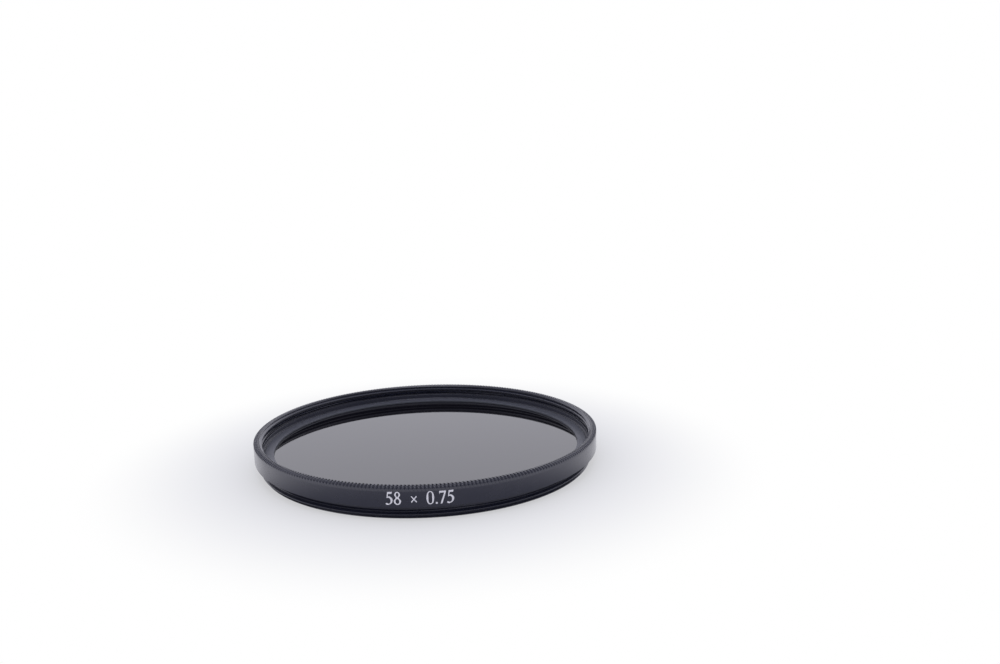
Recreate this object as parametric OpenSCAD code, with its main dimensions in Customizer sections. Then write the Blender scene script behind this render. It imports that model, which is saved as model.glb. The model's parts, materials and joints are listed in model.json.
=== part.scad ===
// Screw-in lens filter with a dark infrared-pass glass.
// Sizes are in millimetres. +Z points away from the lens, out of the front thread.
// The origin is the centre of the rear face, which is the face that it rests on.
// Both threads are drawn as plain cylinders: the front one at its crest and the
// rear one at its crest too, so that each is the surface that a mating part meets.

/* [Threads] */
// Nominal diameter of the thread, the filter's size
thread_d = 58; // [49:0.5:77]
// Distance from one thread to the next
thread_pitch = 0.75; // [0.5:0.05:1]
// How much smaller than nominal the rear thread is turned
rear_allowance = 0.03; // [0:0.01:0.1]

/* [Grip wall] */
// Thickness of the ring outside the thread's nominal diameter
grip_w = 1; // [0.8:0.05:3]
// Height of the wall from its shoulder to the front face
grip_h = 3.4; // [3:0.05:6]
// Bevel along the wall's lower edge
heel_bevel = 0.1; // [0.05:0.01:0.3]
// How far the sloping front edge comes in
edge_in = 0.4; // [0.15:0.01:0.5]
// How far the sloping front edge comes down
edge_drop = 0.2; // [0.15:0.01:0.5]

/* [Knurled edge] */
// Number of notches round the front edge
notch_count = 312; // [120:1:340]
// Depth of a notch, square to the slope
notch_depth = 0.22; // [0.05:0.01:0.25]
// Share of the knurl's pitch that a notch takes
notch_share = 0.66; // [0.3:0.01:0.75]

/* [Front lead-in] */
// How far the lead-in cone opens past the thread's nominal radius
lead_extra = 0.05; // [0:0.01:0.2]

/* [Rear spigot] */
// Height of the spigot that carries the rear thread
spigot_h = 2.2; // [1.8:0.05:4]
// Bevel at the start of the rear thread
spigot_bevel = 0.45; // [0.3:0.05:0.9]
// Height of the undercut between the rear thread and the shoulder
relief_h = 0.8; // [0.2:0.05:0.85]
// How far the undercut goes below the root of the rear thread
relief_extra = 0.02; // [0:0.01:0.1]
// Wall between the undercut and the glass
spigot_wall = 0.85; // [0.6:0.05:1.5]
// Bevel round the opening in the rear face
mouth_bevel = 0.25; // [0.1:0.05:0.5]

/* [Glass] */
// Thickness of the glass
glass_t = 1.5; // [1.3:0.05:2.5]
// Ground bevel round the glass
glass_bevel = 0.15; // [0.05:0.01:0.3]
// Width of the ledge that the glass lies on
seat_w = 1.3; // [0.8:0.05:3]
// Height of that ledge above the rear face
seat_h = 1.2; // [1.1:0.05:2]

/* [Retaining ring] */
// How far the ring laps over the edge of the glass
ring_lap = 0.95; // [0.5:0.05:2]
// Thickness of the lip that laps over the glass
ring_lip = 0.35; // [0.2:0.01:0.6]
// Height of the ring outside the glass
ring_h = 0.5; // [0.3:0.05:0.9]
// Bevel along the ring's top edges
ring_bevel = 0.05; // [0.03:0.01:0.1]
// Width of the rim's own ledge round the ring
ledge_w = 0.3; // [0.2:0.05:0.4]

/* [Fits] */
// Gap round the glass in its pocket
glass_gap = 0.05; // [0.02:0.01:0.1]
// Gap round the retaining ring in its pocket, and under it
ring_gap = 0.05; // [0.02:0.01:0.1]

/* [Hidden] */
$fn = 180;

// Depth of a metric thread's profile, as a share of its pitch: inside and outside
INNER_PROFILE = 0.5413;
OUTER_PROFILE = 0.6134;

total_h = spigot_h + grip_h;
rim_r = thread_d / 2 + grip_w;

front_r = thread_d / 2 - INNER_PROFILE * thread_pitch;
lead_r = thread_d / 2 + lead_extra;
lead_h = lead_r - front_r;

rear_r = (thread_d - rear_allowance) / 2;
relief_r = rear_r - OUTER_PROFILE * thread_pitch - relief_extra;

glass_pocket_r = relief_r - spigot_wall;
glass_r = glass_pocket_r - glass_gap;
aperture_r = glass_pocket_r - seat_w;
glass_top = seat_h + glass_t;

ring_pocket_r = front_r - ledge_w;
ring_r = ring_pocket_r - ring_gap;
ring_inner_r = glass_r - ring_lap;
ring_rebate_r = glass_pocket_r + glass_gap;
ring_top = glass_top + ring_lip;
ring_bottom = ring_top - ring_h;
ring_pocket_z = ring_bottom - ring_gap;

// The sloping front edge, which the knurl follows
edge_l = norm([edge_in, edge_drop]);
edge_tilt = atan2(edge_in, edge_drop);
notch_w = notch_share * 2 * PI * (rim_r - edge_in / 2) / notch_count;

// Section of the rim as [radius, height], once round from the rear face
RIM_SECTION = [
    [aperture_r + mouth_bevel, 0],
    [rear_r - spigot_bevel, 0],
    [rear_r, spigot_bevel],
    [rear_r, spigot_h - relief_h],
    [relief_r, spigot_h - relief_h],
    [relief_r, spigot_h],
    [rim_r - heel_bevel, spigot_h],
    [rim_r, spigot_h + heel_bevel],
    [rim_r, total_h - edge_drop],
    [rim_r - edge_in, total_h],
    [lead_r, total_h],
    [front_r, total_h - lead_h],
    [front_r, ring_top],
    [ring_pocket_r, ring_top],
    [ring_pocket_r, ring_pocket_z],
    [glass_pocket_r, ring_pocket_z],
    [glass_pocket_r, seat_h],
    [aperture_r, seat_h],
    [aperture_r, mouth_bevel]
];

// Section of the glass: a disc with its edges bevelled
GLASS_SECTION = [
    [0, seat_h],
    [glass_r - glass_bevel, seat_h],
    [glass_r, seat_h + glass_bevel],
    [glass_r, glass_top - glass_bevel],
    [glass_r - glass_bevel, glass_top],
    [0, glass_top]
];

// Section of the retaining ring: a lip on the glass and a foot beside it
RING_SECTION = [
    [ring_inner_r, glass_top],
    [ring_rebate_r, glass_top],
    [ring_rebate_r, ring_bottom],
    [ring_r, ring_bottom],
    [ring_r, ring_top - ring_bevel],
    [ring_r - ring_bevel, ring_top],
    [ring_inner_r + ring_bevel, ring_top],
    [ring_inner_r, ring_top - ring_bevel]
];

// One notch: a long V lying along the sloping edge, open to the outside
module notch() {
    opening = notch_depth;
    translate([rim_r - edge_in / 2, 0, total_h - edge_drop / 2])
        rotate([0, -edge_tilt, 0])
            linear_extrude(height = 3 * edge_l + 4 * notch_depth, center = true)
                polygon([
                    [-notch_depth, 0],
                    [opening, -notch_w],
                    [opening, notch_w]
                ]);
}

module rim() {
    color("#2b2c31")
        difference() {
            rotate_extrude() polygon(RIM_SECTION);
            for (i = [0 : notch_count - 1])
                rotate([0, 0, i * 360 / notch_count]) notch();
        }
}

module glass() {
    color("#0d0c10") rotate_extrude() polygon(GLASS_SECTION);
}

module retaining_ring() {
    color("#34353a") rotate_extrude() polygon(RING_SECTION);
}

rim();
glass();
retaining_ring();
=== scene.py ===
# %% [markdown]
# # A screw-in lens filter
# The filter is a disc of dark glass in a shallow black ring. The ring has a thread inside its front
# edge and another one outside its rear spigot, so it screws onto a lens and takes a second filter.
# Everything on it is turned on a lathe, so in Blender nearly all of it comes from spinning a section
# round one axis. What isn't round is either a notch that repeats or a thread that climbs as it turns.
#
# The solids of the part are loaded first. They fix where everything goes: each piece made below
# takes its size from their boxes and from the stated threads, so nothing has to be fitted later.

# %% Load the solids and their box
import json
import math

import bmesh
import bpy
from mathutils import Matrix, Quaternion, Vector


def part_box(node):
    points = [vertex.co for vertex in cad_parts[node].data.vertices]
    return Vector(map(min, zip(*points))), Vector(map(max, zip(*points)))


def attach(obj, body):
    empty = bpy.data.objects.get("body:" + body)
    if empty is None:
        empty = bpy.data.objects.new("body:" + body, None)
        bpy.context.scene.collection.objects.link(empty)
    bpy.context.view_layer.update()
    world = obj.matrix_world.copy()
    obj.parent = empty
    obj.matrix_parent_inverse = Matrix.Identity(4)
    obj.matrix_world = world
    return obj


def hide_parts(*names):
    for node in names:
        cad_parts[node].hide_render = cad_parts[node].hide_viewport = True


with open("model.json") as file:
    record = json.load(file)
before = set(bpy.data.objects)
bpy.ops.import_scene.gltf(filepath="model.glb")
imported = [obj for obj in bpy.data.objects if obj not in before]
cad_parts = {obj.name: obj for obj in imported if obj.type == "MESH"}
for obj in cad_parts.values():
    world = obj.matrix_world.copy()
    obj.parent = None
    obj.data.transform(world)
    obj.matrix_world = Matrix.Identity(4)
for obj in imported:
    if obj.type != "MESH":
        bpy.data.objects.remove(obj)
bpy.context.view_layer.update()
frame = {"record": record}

# %% [markdown]
# ## Units and driving sizes
# The scene is in metres, but a filter is a thing of tenths of a millimetre. Bevels and merges work
# best on numbers near one, so each piece is modelled in millimetres and made small at its end. The
# radii come from the boxes of the solids and from the two threads that the part's record states.
# The wall and the front face are drawn a hair inside their solid, so that the ink printed on the wall
# and the rounding of the numbers stay in its box.

# %% Read the main sizes from the frame
MM = 0.001
FULL_TURN = 2 * math.pi


def reach(node):
    """Outer radius, lowest point and highest point of a solid, in mm."""
    low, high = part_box(node)
    return high.x / MM, low.z / MM, high.z / MM


mounts = {mount["name"]: mount for mount in frame["record"]["mounts"]}
box_r, _, box_z = reach("rim")
glass_r, seat_z, glass_z = reach("glass")
ring_r, ring_low_z, ring_z = reach("retaining_ring")
bore_r = mounts["front_thread"]["dims"]["r_mm"]
spigot_r = mounts["rear_thread"]["dims"]["r_mm"]

INK = 0.008
HAIR = 0.001
rim_r = box_r - INK
front_z = box_z - HAIR
print("rim", rim_r, front_z, "glass", glass_r, seat_z, glass_z, "ring", ring_r, ring_low_z, ring_z)
print("front bore", bore_r, "rear spigot", spigot_r)

# %% [markdown]
# ## The camera
# A photograph taken close to a small ring has strong perspective: the near edge of the ring is
# visibly larger than the far one. So the camera stands at a real distance, less than four ring
# widths away, and its lens follows from how wide the ring is in the picture. The ring sits left
# of the middle and below it, so the camera looks past it: it is aimed at the ring, then turned
# until the ring's foot falls on its own pixel.

# %% Place the camera
PICTURE_W, PICTURE_H = 1000, 664
FOCAL_PX = 1050
RING_FOOT_PX = (427.64, 457.28)
CAMERA_AWAY = 189.21 * MM
CAMERA_UP = math.radians(18.686)
CAMERA_ROLL = math.radians(2.442)
SENSOR_W = 36
CLIP_NEAR, CLIP_FAR = 0.01, 20

camera = bpy.data.objects.new("camera", bpy.data.cameras.new("camera"))
bpy.context.collection.objects.link(camera)
bpy.context.scene.camera = camera
camera.data.sensor_width = SENSOR_W
camera.data.lens = FOCAL_PX / PICTURE_W * SENSOR_W
camera.data.clip_start, camera.data.clip_end = CLIP_NEAR, CLIP_FAR
camera.location = (0, -CAMERA_AWAY * math.cos(CAMERA_UP), CAMERA_AWAY * math.sin(CAMERA_UP))

to_ring = (-camera.location).to_track_quat("-Z", "Y")
foot_ray = Vector((
    (RING_FOOT_PX[0] - PICTURE_W / 2) / FOCAL_PX,
    (PICTURE_H / 2 - RING_FOOT_PX[1]) / FOCAL_PX,
    -1,
)).normalized()
past_ring = Vector((0, 0, -1)).rotation_difference(foot_ray)
roll = Quaternion((0, 0, 1), -CAMERA_ROLL)
camera.rotation_mode = "QUATERNION"
camera.rotation_quaternion = to_ring @ roll @ past_ring.inverted()
print("lens", round(camera.data.lens, 2), "mm")

# %% [markdown]
# ## Helpers for turned pieces
# A lathe cuts a section. `spun` does the same: it takes an open section as radius and height, joins
# its points with edges and spins them once round. The columns of faces start half a notch before
# zero, so that every column of the plain surfaces meets the edge of a knurl notch, and the parts
# can be welded vertex to vertex. MERGE closes a seam inside one part and stays below its finest
# detail. WELD joins finished parts, whose edges can lie a little further apart.

# %% Spin a section and turn a bmesh into a piece
NOTCHES = 312
STEP = FULL_TURN / NOTCHES
MERGE = 0.0008
WELD = 0.002


def place(radius, height, turn):
    """A point in mm, from its radius, its height and its angle round the axis."""
    return Vector((radius * math.cos(turn), radius * math.sin(turn), height))


def chain(bm, section, turn=-STEP / 2):
    """Joins the points of a section, given as (radius, height), with edges."""
    verts = [bm.verts.new(place(radius, height, turn)) for radius, height in section]
    edges = [bm.edges.new(pair) for pair in zip(verts, verts[1:])]
    return verts + edges


def spun(bm, section):
    """Spins an open section once round the axis."""
    bmesh.ops.spin(
        bm, geom=chain(bm, section), cent=(0, 0, 0), axis=(0, 0, 1),
        angle=FULL_TURN, steps=NOTCHES, use_merge=True,
    )


def break_edges(bm, width, segments=1, sharper_than=20):
    """Bevels each edge that is sharper than an angle, as a maker breaks the edges of a turned part."""
    least = math.radians(sharper_than)
    sharp = [e for e in bm.edges if e.is_manifold and e.calc_face_angle(0) > least]
    bmesh.ops.bevel(
        bm, geom=sharp, offset=width, offset_type="OFFSET", segments=segments,
        profile=0.5, affect="EDGES", clamp_overlap=True, material=-1,
    )
    return len(sharp)


def add_mesh(bm, mesh):
    """Adds the faces of a finished bmesh to another one."""
    passed = bpy.data.meshes.new("passed")
    mesh.to_mesh(passed)
    mesh.free()
    bm.from_mesh(passed)
    bpy.data.meshes.remove(passed)


def finish_piece(bm, name, node=None, smooth_below=32, closed=True):
    """Welds a bmesh in mm, turns it the right way out and makes it a piece in metres."""
    bmesh.ops.remove_doubles(bm, verts=bm.verts, dist=WELD)
    if closed:
        bmesh.ops.recalc_face_normals(bm, faces=bm.faces)
    open_edges = sum(1 for e in bm.edges if not e.is_manifold)
    bmesh.ops.scale(bm, vec=(MM, MM, MM), verts=bm.verts)
    for face in bm.faces:
        face.smooth = True
    mesh = bpy.data.meshes.new(name)
    bm.to_mesh(mesh)
    bm.free()
    mesh.set_sharp_from_angle(angle=math.radians(smooth_below))
    piece = bpy.data.objects.new(name, mesh)
    bpy.context.collection.objects.link(piece)
    normals = piece.modifiers.new("even_normals", "WEIGHTED_NORMAL")
    normals.keep_sharp = True
    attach(piece, "root")
    if node:
        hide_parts(node)
    triangles = sum(len(p.vertices) - 2 for p in mesh.polygons)
    print(name, "triangles", triangles, "open edges", open_edges)
    return piece


# %% [markdown]
# ## The plain turned surfaces of the rim
# The rim is one piece of aluminium. Its section is walked in two runs. The first goes from the
# foot of the front thread down the smooth bore, over the pockets for the retaining ring and the
# glass, through the opening and along the rear face. The second goes from the undercut behind the
# rear thread over the shoulder and up the grip wall. The knurl and the two threads fill the gaps.

# %% Spin the two plain runs of the rim
PITCH = 0.75
SHOULDER_Z = 2.2
RELIEF_H = 0.8
REAR_RUNOUT = 0.34
HEEL_BEVEL = 0.1
SPIGOT_BEVEL = 0.45
MOUTH_BEVEL = 0.25
OPENING_R = 26.355
POCKET_GAP = 0.05
LEDGE_W = 0.3
BORE_TOP_Z = 3.8
MALE_DEPTH = 0.6134 * PITCH
FEMALE_DEPTH = 0.5413 * PITCH
UNDERCUT_EXTRA = 0.02
WALL_TOP_Z = 4.7
EDGE_BREAK = 0.025

groove_r = bore_r + FEMALE_DEPTH
undercut_r = spigot_r - MALE_DEPTH - UNDERCUT_EXTRA
glass_pocket_r = glass_r + POCKET_GAP
ring_pocket_r = bore_r - LEDGE_W
ring_pocket_z = ring_low_z - POCKET_GAP
rear_end_z = SHOULDER_Z - RELIEF_H

rim_inside = [
    (groove_r, BORE_TOP_Z),
    (bore_r, BORE_TOP_Z),
    (bore_r, ring_z),
    (ring_pocket_r, ring_z),
    (ring_pocket_r, ring_pocket_z),
    (glass_pocket_r, ring_pocket_z),
    (glass_pocket_r, seat_z),
    (OPENING_R, seat_z),
    (OPENING_R, MOUTH_BEVEL),
    (OPENING_R + MOUTH_BEVEL, 0),
    (spigot_r - SPIGOT_BEVEL, 0),
]
rim_outside = [
    (undercut_r, rear_end_z),
    (undercut_r, SHOULDER_Z),
    (rim_r - HEEL_BEVEL, SHOULDER_Z),
    (rim_r, SHOULDER_Z + HEEL_BEVEL),
    (rim_r, WALL_TOP_Z),
]
plain = bmesh.new()
spun(plain, rim_inside)
spun(plain, rim_outside)
print("edges broken on the plain runs:", break_edges(plain, EDGE_BREAK))

# %% [markdown]
# ## The knurled front edge
# The front edge slopes, and 312 small V notches are pressed across it to give the fingers a grip.
# One notch is modelled with the bit of wall and of front face that belongs to it. A V that lies
# along the slope leaves the wall a little below the edge and the face a little inside it, so its
# floor is one edge longer than the edges beside it. Spin with use_duplicate then copies that
# small patch round the ring, which is far lighter than cutting 312 notches out of a solid. The two
# walls of each notch carry a mark on their faces, so that the material can treat them apart.

# %% Model one notch and repeat it round the ring
EDGE_IN = 0.4
EDGE_DOWN = 0.2
NOTCH_DEPTH = 0.22
NOTCH_SHARE = 0.66
NOMINAL_R = 29
LEAD_EXTRA = 0.05
KNURL_BREAK = 0.02
# The notch walls are marked so that the material can give them painted shade: less shine, for the
# shadow down in each notch.
WALLS_OF_NOTCH = (1, 2)

lead_r = NOMINAL_R + LEAD_EXTRA
edge_z = front_z - EDGE_DOWN
slope = math.hypot(EDGE_IN, EDGE_DOWN)
floor_down = NOTCH_DEPTH * slope / EDGE_IN
floor_in = NOTCH_DEPTH * slope / EDGE_DOWN
half_notch = NOTCH_SHARE * STEP / 2

notch = bmesh.new()
in_notch = notch.faces.layers.float.new("in_notch")


def across(rows):
    """One row of vertices for each (angle, radius, height) list."""
    return [
        [notch.verts.new(place(radius, height, turn)) for turn, radius, height in row]
        for row in rows
    ]


wall_row, edge_row, top_row, face_row = across([
    [(-STEP / 2, rim_r, WALL_TOP_Z), (STEP / 2, rim_r, WALL_TOP_Z)],
    [(-STEP / 2, rim_r, edge_z), (-half_notch, rim_r, edge_z), (0, rim_r, edge_z - floor_down),
     (half_notch, rim_r, edge_z), (STEP / 2, rim_r, edge_z)],
    [(-STEP / 2, rim_r - EDGE_IN, front_z), (-half_notch, rim_r - EDGE_IN, front_z),
     (0, rim_r - EDGE_IN - floor_in, front_z),
     (half_notch, rim_r - EDGE_IN, front_z), (STEP / 2, rim_r - EDGE_IN, front_z)],
    [(-STEP / 2, lead_r, front_z), (STEP / 2, lead_r, front_z)],
])
notch.faces.new([wall_row[0], wall_row[1], *reversed(edge_row)])
for left in range(len(edge_row) - 1):
    right = left + 1
    face = notch.faces.new([edge_row[left], edge_row[right], top_row[right], top_row[left]])
    face[in_notch] = float(left in WALLS_OF_NOTCH)
notch.faces.new([*top_row, face_row[1], face_row[0]])
bmesh.ops.spin(
    notch, geom=notch.verts[:] + notch.edges[:] + notch.faces[:], cent=(0, 0, 0), axis=(0, 0, 1),
    angle=FULL_TURN - STEP, steps=NOTCHES - 1, use_duplicate=True,
)
bmesh.ops.remove_doubles(notch, verts=notch.verts, dist=MERGE)
print("knurl edges broken:", break_edges(notch, KNURL_BREAK), "faces:", len(notch.faces))

# %% [markdown]
# ## The two threads
# A thread is a section that climbs by its pitch while it turns once. Spin does that with `dvec`,
# a small step along the axis that is added at each step of the turn. The profile of one turn is
# stacked a few times, spun once round, and its end then lies on its start, one turn higher.
# What sticks out above and below is squeezed into the ends of the thread: the lead-in cone at the
# front, the bevel at the rear and the run-out grooves. That is what the lathe does when it cuts
# those after the thread, and it leaves a clean circle that welds to the plain runs. The widths of
# crest and root were chosen to look right, so the flanks stand 59 and 63 degrees apart, not 60.

# %% Make a thread as a helix, trimmed by cones
FLANK_CUTS = 4
ROUND_ALONG = 0.02
ROUND_DEEP = 0.04
QUARTER_TURN = 0.25
SPARE_TURNS = 2


def thread_profile(crest_share, root_share):
    """One turn's profile as (share of the pitch, share of the depth), from the middle of a crest."""
    crest, root = crest_share / 2, 0.5 - root_share / 2
    half = [(0, 0), (crest - ROUND_ALONG, 0), (crest + ROUND_ALONG, ROUND_DEEP)]
    for cut in range(1, FLANK_CUTS + 1):
        share = cut / FLANK_CUTS
        half.append((crest + (root - crest) * share, share))
    back = [(1 - along, deep) for along, deep in reversed(half[1:])]
    return half + back


def threaded(crest_r, depth, profile, low_z, high_z, crest_z, trim):
    """A thread between two heights, with a crest at crest_z at azimuth 90. trim limits the radius."""
    start_z = crest_z - PITCH * (QUARTER_TURN + STEP / 2 / FULL_TURN)
    lowest = math.floor((low_z - start_z) / PITCH) - SPARE_TURNS
    turns = math.ceil((high_z - low_z) / PITCH) + 2 * SPARE_TURNS
    section = [
        (crest_r + depth * deep, start_z + PITCH * (lowest + turn + along))
        for turn in range(turns)
        for along, deep in profile
    ]
    bm = bmesh.new()
    bmesh.ops.spin(
        bm, geom=chain(bm, section), cent=(0, 0, 0), axis=(0, 0, 1), dvec=(0, 0, PITCH / NOTCHES),
        angle=FULL_TURN, steps=NOTCHES,
    )
    for vert in bm.verts:
        height = min(max(vert.co.z, low_z), high_z)
        radius = trim(math.hypot(vert.co.x, vert.co.y), height)
        vert.co = place(radius, height, math.atan2(vert.co.y, vert.co.x))
    bmesh.ops.remove_doubles(bm, verts=bm.verts, dist=MERGE)
    return bm


FRONT_CREST_Z = 4.83
FRONT_SHARES = (0.25, 0.14)
RUNOUT = 0.15


def trim_front(radius, height):
    """The bore opens to the lead-in cone at the front and to a run-out groove at the thread's foot."""
    lead = lead_r - (front_z - height)
    runout = groove_r - max(0, height - BORE_TOP_Z - RUNOUT)
    if height <= BORE_TOP_Z:
        return groove_r
    return max(radius, lead, runout)


front_thread = threaded(
    bore_r, FEMALE_DEPTH, thread_profile(*FRONT_SHARES), BORE_TOP_Z, front_z, FRONT_CREST_Z, trim_front,
)

REAR_CREST_Z = 1.12
REAR_SHARES = (0.16, 0.09)


def trim_rear(radius, height):
    """The rear thread starts at the spigot's bevel and runs out into the undercut along a cone."""
    bevel = spigot_r - SPIGOT_BEVEL + height
    under = undercut_r + max(0, rear_end_z - height) * (spigot_r - undercut_r) / REAR_RUNOUT
    if height <= 0:
        return spigot_r - SPIGOT_BEVEL
    return min(radius, bevel, under)


rear_thread = threaded(
    spigot_r, -MALE_DEPTH, thread_profile(*REAR_SHARES), 0, rear_end_z, REAR_CREST_Z, trim_rear,
)
print("thread faces:", len(front_thread.faces), len(rear_thread.faces))

# %% Weld the rim together
rim_mesh = bmesh.new()
for band in (plain, notch, front_thread, rear_thread):
    add_mesh(rim_mesh, band)
rim = finish_piece(rim_mesh, "threaded_rim", "rim")

# %% [markdown]
# ## The glass
# The glass is a plain disc, ground round its edge. It is made the way a glazier would describe it:
# a circle, given its thickness, with its two sharp edges taken off. Its faces have to be truly flat,
# because the whole face is a mirror in the photograph and any unevenness would bend the reflection.

# %% Make the glass disc
GLASS_BEVEL = 0.15

disc = bmesh.new()
bmesh.ops.create_circle(disc, cap_ends=True, segments=NOTCHES, radius=glass_r)
raised = bmesh.ops.extrude_face_region(disc, geom=disc.faces[:])["geom"]
risen = [item for item in raised if isinstance(item, bmesh.types.BMVert)]
bmesh.ops.translate(disc, vec=(0, 0, glass_z - seat_z), verts=risen)
bmesh.ops.translate(disc, vec=(0, 0, seat_z), verts=disc.verts)
break_edges(disc, GLASS_BEVEL, sharper_than=60)
glass = finish_piece(disc, "glass_disc", "glass")

# %% [markdown]
# ## The retaining ring
# The ring that keeps the glass in is a second turned part: a thin lip lies on the glass and a
# deeper foot goes down beside it. Its section is closed, so its last edge joins its ends.

# %% Spin the retaining ring
RING_LAP = 0.95
RING_BREAK = 0.05

ring_inner_r = glass_r - RING_LAP
ring_rebate_r = glass_r + 2 * POCKET_GAP
ring_section = [
    (ring_inner_r, glass_z),
    (ring_rebate_r, glass_z),
    (ring_rebate_r, ring_low_z),
    (ring_r, ring_low_z),
    (ring_r, ring_z),
    (ring_inner_r, ring_z),
    (ring_inner_r, glass_z),
]
ring = bmesh.new()
spun(ring, ring_section)
bmesh.ops.remove_doubles(ring, verts=ring.verts, dist=MERGE)
break_edges(ring, RING_BREAK, segments=2)
retainer = finish_piece(ring, "glass_retainer", "retaining_ring")

# %% [markdown]
# ## The print on the wall
# Such rings carry their size on the wall, printed in white. The place holds plain numbers here: the
# diameter of the thread and its pitch. A text object would bring its own font, so each digit is
# drawn as closed outlines of a flat curve, with thick uprights and thin turns. Blender fills a flat
# curve and cuts the inner outlines out as holes. The filled sheet is then bent round the wall by
# turning its width into an angle.

# %% Draw the digits as flat outlines
CORNER, ROUND = True, False


def oval(x, y, half_w, half_h):
    """Four smooth points round a middle."""
    around = [(x, y + half_h), (x - half_w, y), (x, y - half_h), (x + half_w, y)]
    return [(*point, ROUND) for point in around]


DIGITS = {
    "0": (0.62, [oval(0.31, 0.5, 0.28, 0.51), oval(0.31, 0.5, 0.135, 0.44)]),
    ".": (0.30, [oval(0.15, 0.07, 0.08, 0.08)]),
    "5": (0.60, [[
        (0.17, 0.98, CORNER), (0.53, 1.00, CORNER), (0.49, 0.84, CORNER), (0.235, 0.84, CORNER),
        (0.20, 0.62, CORNER), (0.33, 0.645, ROUND), (0.56, 0.33, ROUND), (0.24, -0.01, ROUND),
        (0.05, 0.03, ROUND), (0.04, 0.11, ROUND), (0.14, 0.12, ROUND), (0.26, 0.07, ROUND),
        (0.41, 0.32, ROUND), (0.27, 0.54, ROUND), (0.11, 0.50, CORNER),
    ]]),
    "7": (0.58, [[
        (0.05, 0.98, CORNER), (0.56, 0.98, CORNER), (0.56, 0.92, CORNER), (0.26, 0, CORNER),
        (0.13, 0, CORNER), (0.42, 0.84, CORNER), (0.12, 0.84, CORNER), (0.06, 0.74, CORNER),
    ]]),
    "8": (0.62, [
        [(0.31, 1.01, ROUND), (0.09, 0.77, ROUND), (0.19, 0.55, ROUND), (0.04, 0.26, ROUND),
         (0.31, -0.01, ROUND), (0.58, 0.26, ROUND), (0.43, 0.55, ROUND), (0.53, 0.77, ROUND)],
        oval(0.31, 0.775, 0.10, 0.16), oval(0.31, 0.265, 0.14, 0.19),
    ]),
    "x": (0.56, [[
        (0.06, 0.62, CORNER), (0.24, 0.42, CORNER), (0.06, 0.22, CORNER), (0.12, 0.16, CORNER),
        (0.29, 0.36, CORNER), (0.46, 0.16, CORNER), (0.52, 0.22, CORNER), (0.34, 0.42, CORNER),
        (0.52, 0.62, CORNER), (0.46, 0.68, CORNER), (0.29, 0.48, CORNER), (0.12, 0.68, CORNER),
    ]]),
    " ": (0.62, []),
}


def draw_outline(curve, points, shift):
    """Adds a closed outline to a flat curve."""
    spline = curve.splines.new("BEZIER")
    spline.bezier_points.add(len(points) - 1)
    spline.use_cyclic_u = True
    for knot, (x, y, corner) in zip(spline.bezier_points, points):
        knot.co = (x + shift, y, 0)
        knot.handle_left_type = knot.handle_right_type = "VECTOR" if corner else "AUTO"


# %% Fill them and bend them round the wall
CAP_H = 2.05
PRINT_FOOT_Z = 2.76
PRINT_MID = math.radians(267.3)
CURVE_STEPS = 6

flat_print = bpy.data.curves.new("flat_print", "CURVE")
flat_print.dimensions, flat_print.fill_mode = "2D", "BOTH"
flat_print.resolution_u = CURVE_STEPS
pen = 0
for digit in "58 x 0.75":
    advance, outlines = DIGITS[digit]
    for points in outlines:
        draw_outline(flat_print, points, pen)
    pen += advance

drawing = bpy.data.objects.new("flat_print", flat_print)
ink_bm = bmesh.new()
filled = bpy.data.meshes.new_from_object(drawing)
ink_bm.from_mesh(filled)
bpy.data.objects.remove(drawing)
bpy.data.meshes.remove(filled)
for vert in ink_bm.verts:
    turn = PRINT_MID + (vert.co.x - pen / 2) * CAP_H / rim_r
    vert.co = place(box_r - INK / 4, PRINT_FOOT_Z + vert.co.y * CAP_H, turn)
print("print is", round(pen * CAP_H, 2), "mm long")
ink = finish_piece(ink_bm, "size_numbers", closed=False)

# %% [markdown]
# ## Materials
# Black anodising is a hard, clear, very thin layer with dye in it, so hardly any light comes back
# from inside it. Nearly all that is seen of it is reflection off its surface, which grows steeply
# at grazing angles: that is why the flanks of the ring look grey and its front looks black. So the
# base colour is close to black, and the index of refraction does most of the work. Two kinds of
# detail lie on top: the lathe's fine turning marks, which run round the part, and patches where the
# layer is a little smoother or rougher. The walls of the knurl's notches are given less shine than
# the faces beside them, which is painted shade for the shadow down in each notch. That last value
# is a fit to one photograph and no measured property, as are the colours and both indices.

# %% Helpers for shader nodes
def shader(name):
    """A new material, with its node tree and its Principled shader."""
    material = bpy.data.materials.new(name)
    material.use_nodes = True
    tree = material.node_tree
    return material, tree, tree.nodes["Principled BSDF"]


def node(tree, kind, **values):
    """A shader node with some of its settings or inputs set by name."""
    made = tree.nodes.new(kind)
    for key, value in values.items():
        if hasattr(made, key):
            setattr(made, key, value)
        else:
            made.inputs[key.replace("_", " ")].default_value = value
    return made


def along_section(tree):
    """A vector of radius and height: a texture on it runs round the part, as a lathe's marks do."""
    where = node(tree, "ShaderNodeTexCoord")
    flat = node(tree, "ShaderNodeVectorMath", operation="MULTIPLY")
    flat.inputs[1].default_value = (1, 1, 0)
    radius = node(tree, "ShaderNodeVectorMath", operation="LENGTH")
    parts = node(tree, "ShaderNodeSeparateXYZ")
    section = node(tree, "ShaderNodeCombineXYZ")
    tree.links.new(where.outputs["Object"], flat.inputs[0])
    tree.links.new(flat.outputs[0], radius.inputs[0])
    tree.links.new(where.outputs["Object"], parts.inputs[0])
    tree.links.new(radius.outputs["Value"], section.inputs["X"])
    tree.links.new(parts.outputs["Z"], section.inputs["Z"])
    return where.outputs["Object"], section.outputs[0]


# %% Black anodising
MARKS_PER_METRE = 9000
GRAIN_PER_METRE = 14000
PATCHES_PER_METRE = 350
FULL_SHINE, SHADED_NOTCH_SHINE = 0.5, 0.28
METAL_INDEX = 1.75
MARK_DEPTH = 0.01 * MM
GRAIN_STRENGTH = 0.1


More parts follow.
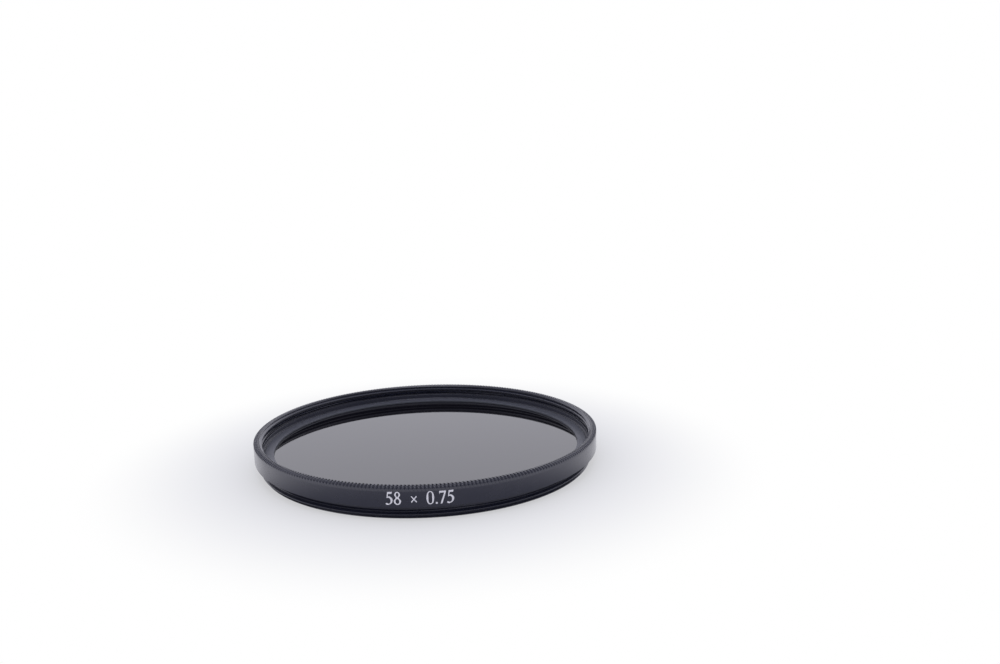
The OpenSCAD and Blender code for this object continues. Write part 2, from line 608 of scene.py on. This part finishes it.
def anodised(name, colour, roughness, marks):
    """Dyed anodised aluminium with turning marks. marks is how deep they look."""
    material, tree, skin = shader(name)
    skin.inputs["Base Color"].default_value = (*colour, 1)
    skin.inputs["IOR"].default_value = METAL_INDEX
    skin.inputs["Specular Tint"].default_value = (0.95, 0.95, 1.0, 1)
    point, section = along_section(tree)

    patches = node(tree, "ShaderNodeTexNoise", Scale=PATCHES_PER_METRE, Detail=3)
    gloss = node(
        tree, "ShaderNodeMapRange", From_Min=0.3, From_Max=0.7,
        To_Min=roughness - 0.03, To_Max=roughness + 0.04,
    )
    tree.links.new(point, patches.inputs["Vector"])
    tree.links.new(patches.outputs[0], gloss.inputs["Value"])
    tree.links.new(gloss.outputs["Result"], skin.inputs["Roughness"])

    # Painted shade: the marked notch walls get less shine than the faces beside them, as if they lay in
    # shadow.
    notch_shade_mask = node(tree, "ShaderNodeAttribute", attribute_name="in_notch")
    shine = node(tree, "ShaderNodeMapRange", To_Min=FULL_SHINE, To_Max=SHADED_NOTCH_SHINE)
    tree.links.new(notch_shade_mask.outputs["Fac"], shine.inputs["Value"])
    tree.links.new(shine.outputs["Result"], skin.inputs["Specular IOR Level"])

    turning = node(tree, "ShaderNodeTexNoise", Scale=MARKS_PER_METRE, Detail=2)
    grain = node(tree, "ShaderNodeTexNoise", Scale=GRAIN_PER_METRE, Detail=1)
    lathe = node(tree, "ShaderNodeBump", Strength=marks, Distance=MARK_DEPTH)
    matt = node(tree, "ShaderNodeBump", Strength=GRAIN_STRENGTH, Distance=MARK_DEPTH)
    tree.links.new(section, turning.inputs["Vector"])
    tree.links.new(point, grain.inputs["Vector"])
    tree.links.new(turning.outputs[0], lathe.inputs["Height"])
    tree.links.new(grain.outputs[0], matt.inputs["Height"])
    tree.links.new(lathe.outputs[0], matt.inputs["Normal"])
    tree.links.new(matt.outputs[0], skin.inputs["Normal"])
    return material


rim.data.materials.append(anodised("rim_black", (0.0115, 0.0130, 0.0245), 0.25, 0.25))
retainer.data.materials.append(anodised("retainer_black", (0.059, 0.064, 0.082), 0.45, 0.15))

# %% [markdown]
# ## Glass and ink
# The glass lets only infrared through, so to the eye it is a black mirror. Its base is nearly black
# with a trace of violet, and its gloss is broken only by a faint haze, as cleaning leaves it. The
# ink is a thin, matt white layer that lets a little of the black through.

# %% Dark glass
GLASS_INDEX = 1.88
HAZE_PER_METRE = 90

dark, tree, skin = shader("dark_glass")
skin.inputs["Base Color"].default_value = (0.004, 0.0038, 0.006, 1)
skin.inputs["IOR"].default_value = GLASS_INDEX
where = node(tree, "ShaderNodeTexCoord")
haze = node(tree, "ShaderNodeTexNoise", Scale=HAZE_PER_METRE, Detail=4)
smear = node(tree, "ShaderNodeMapRange", From_Min=0.35, From_Max=0.75, To_Min=0.02, To_Max=0.05)
tree.links.new(where.outputs["Object"], haze.inputs["Vector"])
tree.links.new(haze.outputs[0], smear.inputs["Value"])
tree.links.new(smear.outputs["Result"], skin.inputs["Roughness"])
glass.data.materials.append(dark)

# %% White ink
SPECKS_PER_METRE = 6000

paint, tree, skin = shader("white_ink")
skin.inputs["Roughness"].default_value = 0.55
where = node(tree, "ShaderNodeTexCoord")
cover = node(tree, "ShaderNodeTexNoise", Scale=SPECKS_PER_METRE, Detail=2)
thin = node(tree, "ShaderNodeMix", data_type="RGBA")
thin.inputs["A"].default_value = (0.66, 0.66, 0.68, 1)
thin.inputs["B"].default_value = (0.82, 0.82, 0.84, 1)
tree.links.new(where.outputs["Object"], cover.inputs["Vector"])
tree.links.new(cover.outputs[0], thin.inputs["Factor"])
tree.links.new(thin.outputs["Result"], skin.inputs["Base Color"])
ink.data.materials.append(paint)

# %% [markdown]
# ## The floor
# The floor is pale and matt, and it keeps the ring's shadow. Further out it fades into plain white,
# so no horizon cuts across the picture. The fade is centred on the ring, so the camera sees a grey
# round it that is partly the real shadow and partly painted shade. The fade is only in what the
# camera and the mirror-like surfaces see: the light that the floor throws back onto the ring is that
# of the matt floor. The grip wall mirrors the floor from 4 to 15 mm outside it, and in the photograph
# that floor is dim close to the front of the ring and bright further off. So mirrors have a fade of
# their own, from a dim pool set a little forward of the ring: a painted shadow, which only the
# reflections show. The pool is a fit to that photograph, in place of the clear case that the filter
# lies on there. Seen from below the floor is clear, so that the rear face can be looked at too.

# %% Lay the floor
CAST = (0.915, 0.91, 1.0, 1)
FLOOR_R = 4
FLOOR_SIDES = 64
FLOOR_COLOUR = (0.52, 0.53, 0.57, 1)
# Near the ring the camera sees the matt floor, with its real shadow and a grey that is painted shade;
# mirrors see a painted shadow, dim forward of the ring.
MIRRORED_SHADE_CENTRE = (0, -0.020, 0)
CAMERA_FADE_AND_SHADE = (0.025, 0.060, 0.48)
MIRROR_SHADE_FADE = (0.0215, 0.038, 0.60)
MIRRORED_SHADE_LEVEL = 0.22
MIRRORED_WHITE = (0.99, 0.985, 1.05, 1)

floor_bm = bmesh.new()
bmesh.ops.create_circle(floor_bm, cap_ends=True, segments=FLOOR_SIDES, radius=FLOOR_R)
floor_mesh = bpy.data.meshes.new("floor")
floor_bm.to_mesh(floor_mesh)
floor_bm.free()
floor = bpy.data.objects.new("floor", floor_mesh)
bpy.context.collection.objects.link(floor)

pale, tree, skin = shader("pale_floor")
skin.inputs["Base Color"].default_value = FLOOR_COLOUR
skin.inputs["Roughness"].default_value = 0.9
skin.inputs["Specular IOR Level"].default_value = 0
white = node(tree, "ShaderNodeEmission", Strength=1.0)
path = node(tree, "ShaderNodeLightPath")
where = node(tree, "ShaderNodeTexCoord")
middle = node(tree, "ShaderNodeVectorMath", operation="DISTANCE")
away = node(tree, "ShaderNodeVectorMath", operation="DISTANCE")
away.inputs[1].default_value = MIRRORED_SHADE_CENTRE
tree.links.new(where.outputs["Object"], middle.inputs[0])
tree.links.new(where.outputs["Object"], away.inputs[0])

# Painted shadow for mirrors: glossy rays see the floor glow dimly forward of the ring, rising to white
# further out.
mirrored_shade = node(
    tree, "ShaderNodeMapRange", interpolation_type="SMOOTHSTEP",
    From_Min=MIRROR_SHADE_FADE[0], From_Max=MIRROR_SHADE_FADE[1], To_Min=MIRRORED_SHADE_LEVEL,
)
level = node(tree, "ShaderNodeMath", operation="MAXIMUM")
tint = node(tree, "ShaderNodeMix", data_type="RGBA")
tint.inputs["A"].default_value = MIRRORED_WHITE
tint.inputs["B"].default_value = (1, 1, 1, 1)
tree.links.new(away.outputs["Value"], mirrored_shade.inputs["Value"])
tree.links.new(mirrored_shade.outputs["Result"], level.inputs[0])
tree.links.new(path.outputs["Is Camera Ray"], level.inputs[1])
tree.links.new(path.outputs["Is Camera Ray"], tint.inputs["Factor"])
tree.links.new(level.outputs[0], white.inputs["Strength"])
tree.links.new(tint.outputs["Result"], white.inputs["Color"])

shares = []
for seen_by, distance, (start, end, least) in (
    ("Is Camera Ray", middle, CAMERA_FADE_AND_SHADE), ("Is Glossy Ray", away, MIRROR_SHADE_FADE),
):
    fade = node(
        tree, "ShaderNodeMapRange", interpolation_type="SMOOTHSTEP",
        From_Min=start, From_Max=end, To_Min=least,
    )
    share = node(tree, "ShaderNodeMath", operation="MULTIPLY")
    tree.links.new(distance.outputs["Value"], fade.inputs["Value"])
    tree.links.new(fade.outputs["Result"], share.inputs[0])
    tree.links.new(path.outputs[seen_by], share.inputs[1])
    shares.append(share)
most = node(tree, "ShaderNodeMath", operation="MAXIMUM")
shown = node(tree, "ShaderNodeMixShader")
tree.links.new(shares[0].outputs[0], most.inputs[0])
tree.links.new(shares[1].outputs[0], most.inputs[1])
tree.links.new(most.outputs[0], shown.inputs[0])
tree.links.new(skin.outputs[0], shown.inputs[1])
tree.links.new(white.outputs[0], shown.inputs[2])
facing = node(tree, "ShaderNodeNewGeometry")
clear = node(tree, "ShaderNodeBsdfTransparent")
one_sided = node(tree, "ShaderNodeMixShader")
tree.links.new(facing.outputs["Backfacing"], one_sided.inputs[0])
tree.links.new(shown.outputs[0], one_sided.inputs[1])
tree.links.new(clear.outputs[0], one_sided.inputs[2])
tree.links.new(one_sided.outputs[0], tree.nodes["Material Output"].inputs["Surface"])
floor.data.materials.append(pale)

# %% [markdown]
# ## The studio
# The photograph has soft light all round and no lamp that shows in the ring, so the world gives
# all the light here, and its level is one, at which a colour looks as it is written. Mirrors see a
# bright band along the horizon, dimmer on the side of the camera, and a darker ceiling: the flat
# front face and the glass reflect the band, and the sloping edge, which looks higher up, is darker.
# A soft glow overhead stands for the large lamp of a photo tent. It has no hard edge, so the glass
# shows none when it is looked at from above. Giving mirrors a light level of their own isn't how a
# real studio works. It keeps plain colours at the level that they are written for, while what the
# metal and the glass reflect is fitted to the photograph.

# %% Light the studio
WORLD_LIGHT = 1.0
MIRROR_LIGHT = 1.16
CEILING = 0.5
CEILING_FROM, CEILING_TO = 0.44, 0.72
FRONT_LIGHT = 0.45
SIDE_FROM, SIDE_TO = -0.9, 0.1
GLOW_AT = (0, -0.2, 1)
GLOW_FROM, GLOW_TO, GLOW = 0.92, 0.99, 1.3

world = bpy.data.worlds.new("studio")
bpy.context.scene.world = world
world.use_nodes = True
tree = world.node_tree
matt_light = tree.nodes["Background"]
matt_light.inputs["Color"].default_value = CAST
mirror_light = node(tree, "ShaderNodeBackground", Color=CAST)
seen = node(tree, "ShaderNodeBackground", Color=(1, 1, 1, 1), Strength=1.0)
path = node(tree, "ShaderNodeLightPath")
where = node(tree, "ShaderNodeTexCoord")
parts = node(tree, "ShaderNodeSeparateXYZ")
side = node(
    tree, "ShaderNodeMapRange", interpolation_type="SMOOTHSTEP",
    From_Min=SIDE_FROM, From_Max=SIDE_TO, To_Min=FRONT_LIGHT,
)
ceiling = node(
    tree, "ShaderNodeMapRange", interpolation_type="SMOOTHSTEP",
    From_Min=CEILING_FROM, From_Max=CEILING_TO, To_Min=MIRROR_LIGHT, To_Max=MIRROR_LIGHT * CEILING,
)
high = node(tree, "ShaderNodeVectorMath", operation="DOT_PRODUCT")
high.inputs[1].default_value = Vector(GLOW_AT).normalized()
glow = node(
    tree, "ShaderNodeMapRange", interpolation_type="SMOOTHSTEP",
    From_Min=GLOW_FROM, From_Max=GLOW_TO, To_Max=GLOW,
)
matt_level = node(tree, "ShaderNodeMath", operation="ADD")
matt_level.inputs[0].default_value = WORLD_LIGHT
mirror_level = node(tree, "ShaderNodeMath", operation="MULTIPLY_ADD")
sharp = node(tree, "ShaderNodeMath", operation="MAXIMUM")
lit = node(tree, "ShaderNodeMixShader")
shown = node(tree, "ShaderNodeMixShader")
tree.links.new(where.outputs["Generated"], parts.inputs[0])
tree.links.new(parts.outputs["Y"], side.inputs["Value"])
tree.links.new(parts.outputs["Z"], ceiling.inputs["Value"])
tree.links.new(where.outputs["Generated"], high.inputs[0])
tree.links.new(high.outputs["Value"], glow.inputs["Value"])
tree.links.new(glow.outputs["Result"], matt_level.inputs[1])
tree.links.new(glow.outputs["Result"], mirror_level.inputs[2])
tree.links.new(side.outputs["Result"], mirror_level.inputs[0])
tree.links.new(ceiling.outputs["Result"], mirror_level.inputs[1])
tree.links.new(matt_level.outputs[0], matt_light.inputs["Strength"])
tree.links.new(mirror_level.outputs[0], mirror_light.inputs["Strength"])
tree.links.new(path.outputs["Is Glossy Ray"], sharp.inputs[0])
tree.links.new(path.outputs["Is Transmission Ray"], sharp.inputs[1])
tree.links.new(sharp.outputs[0], lit.inputs[0])
tree.links.new(matt_light.outputs[0], lit.inputs[1])
tree.links.new(mirror_light.outputs[0], lit.inputs[2])
tree.links.new(path.outputs["Is Camera Ray"], shown.inputs[0])
tree.links.new(lit.outputs[0], shown.inputs[1])
tree.links.new(seen.outputs[0], shown.inputs[2])
tree.links.new(shown.outputs[0], tree.nodes["World Output"].inputs["Surface"])

# %% [markdown]
# ## Plain colours
# The part is used by its box, so the pieces may carry finer detail than the solids, but nothing of
# it may reach outside them. Colours are shown plainly, with no film-like curve on top.

# %% Show colours plainly
bpy.context.scene.view_settings.view_transform = "Standard"
